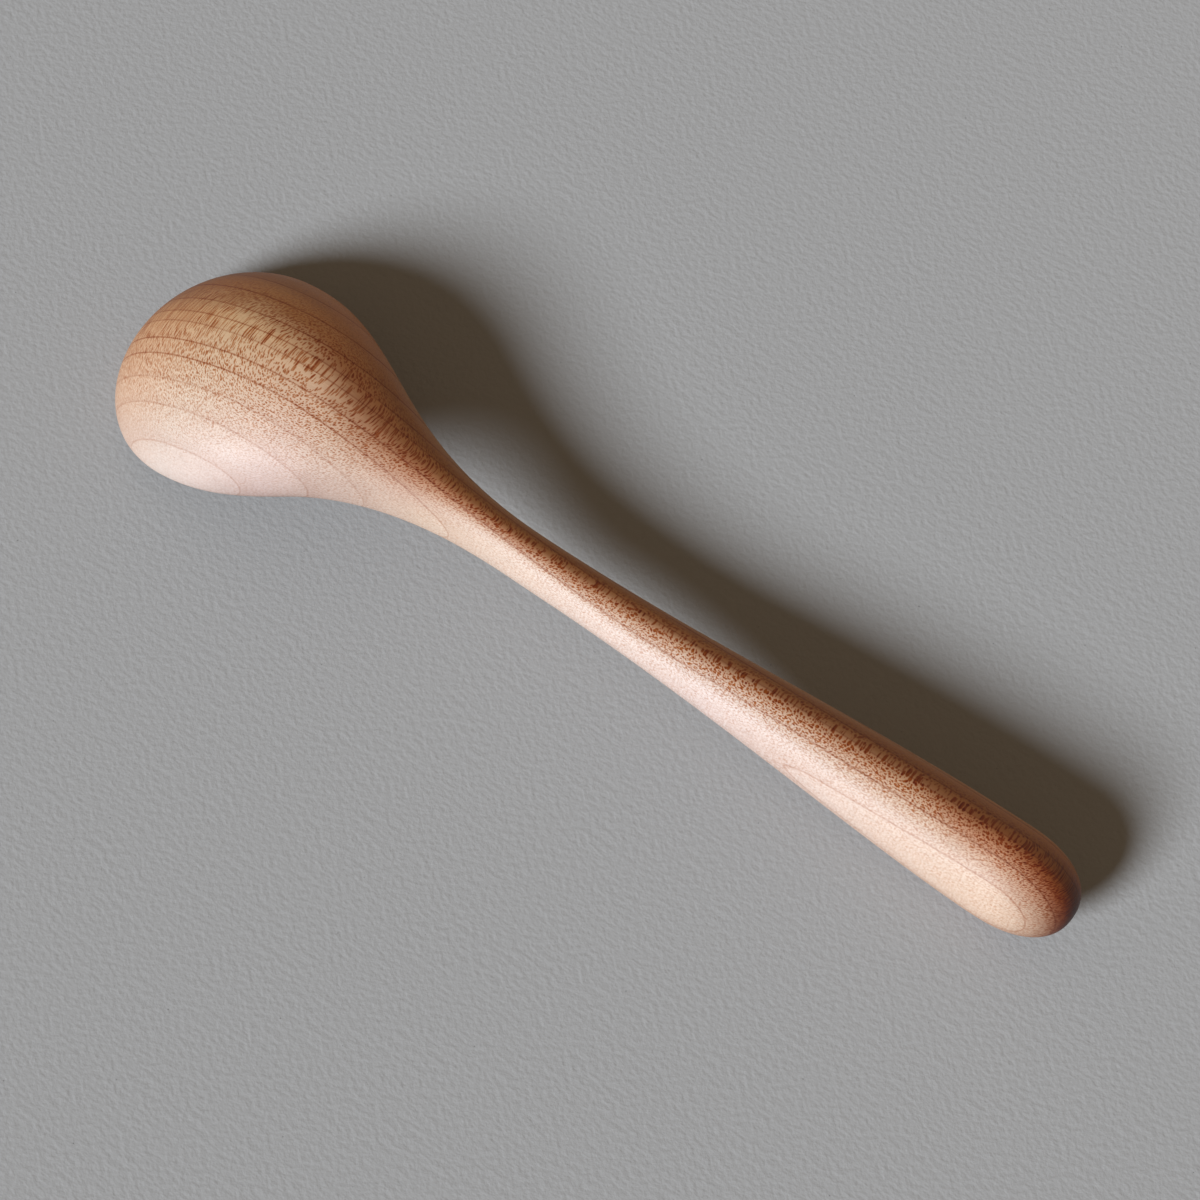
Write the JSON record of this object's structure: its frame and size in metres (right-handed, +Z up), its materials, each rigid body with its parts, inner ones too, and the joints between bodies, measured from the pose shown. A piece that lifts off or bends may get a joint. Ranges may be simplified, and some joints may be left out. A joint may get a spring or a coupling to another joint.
{
  "type": "spoon",
  "caption": "One-piece wooden serving spoon with a deep egg-shaped bowl, a slim neck and a club handle, lying face down.",
  "frame": {"origin": "middle of the spoon's length and width, on the table it lies on", "axes": "+X from the bowl's tip to the handle's end, +Z up from the table to the back of the bowl, so the bowl's hollow faces down"},
  "size_m": [0.218, 0.0492, 0.0284],
  "materials": {
    "wood": "smooth satin"
  },
  "bodies": {
    "root": {"spoon": "wood"}
  },
  "joints": []
}
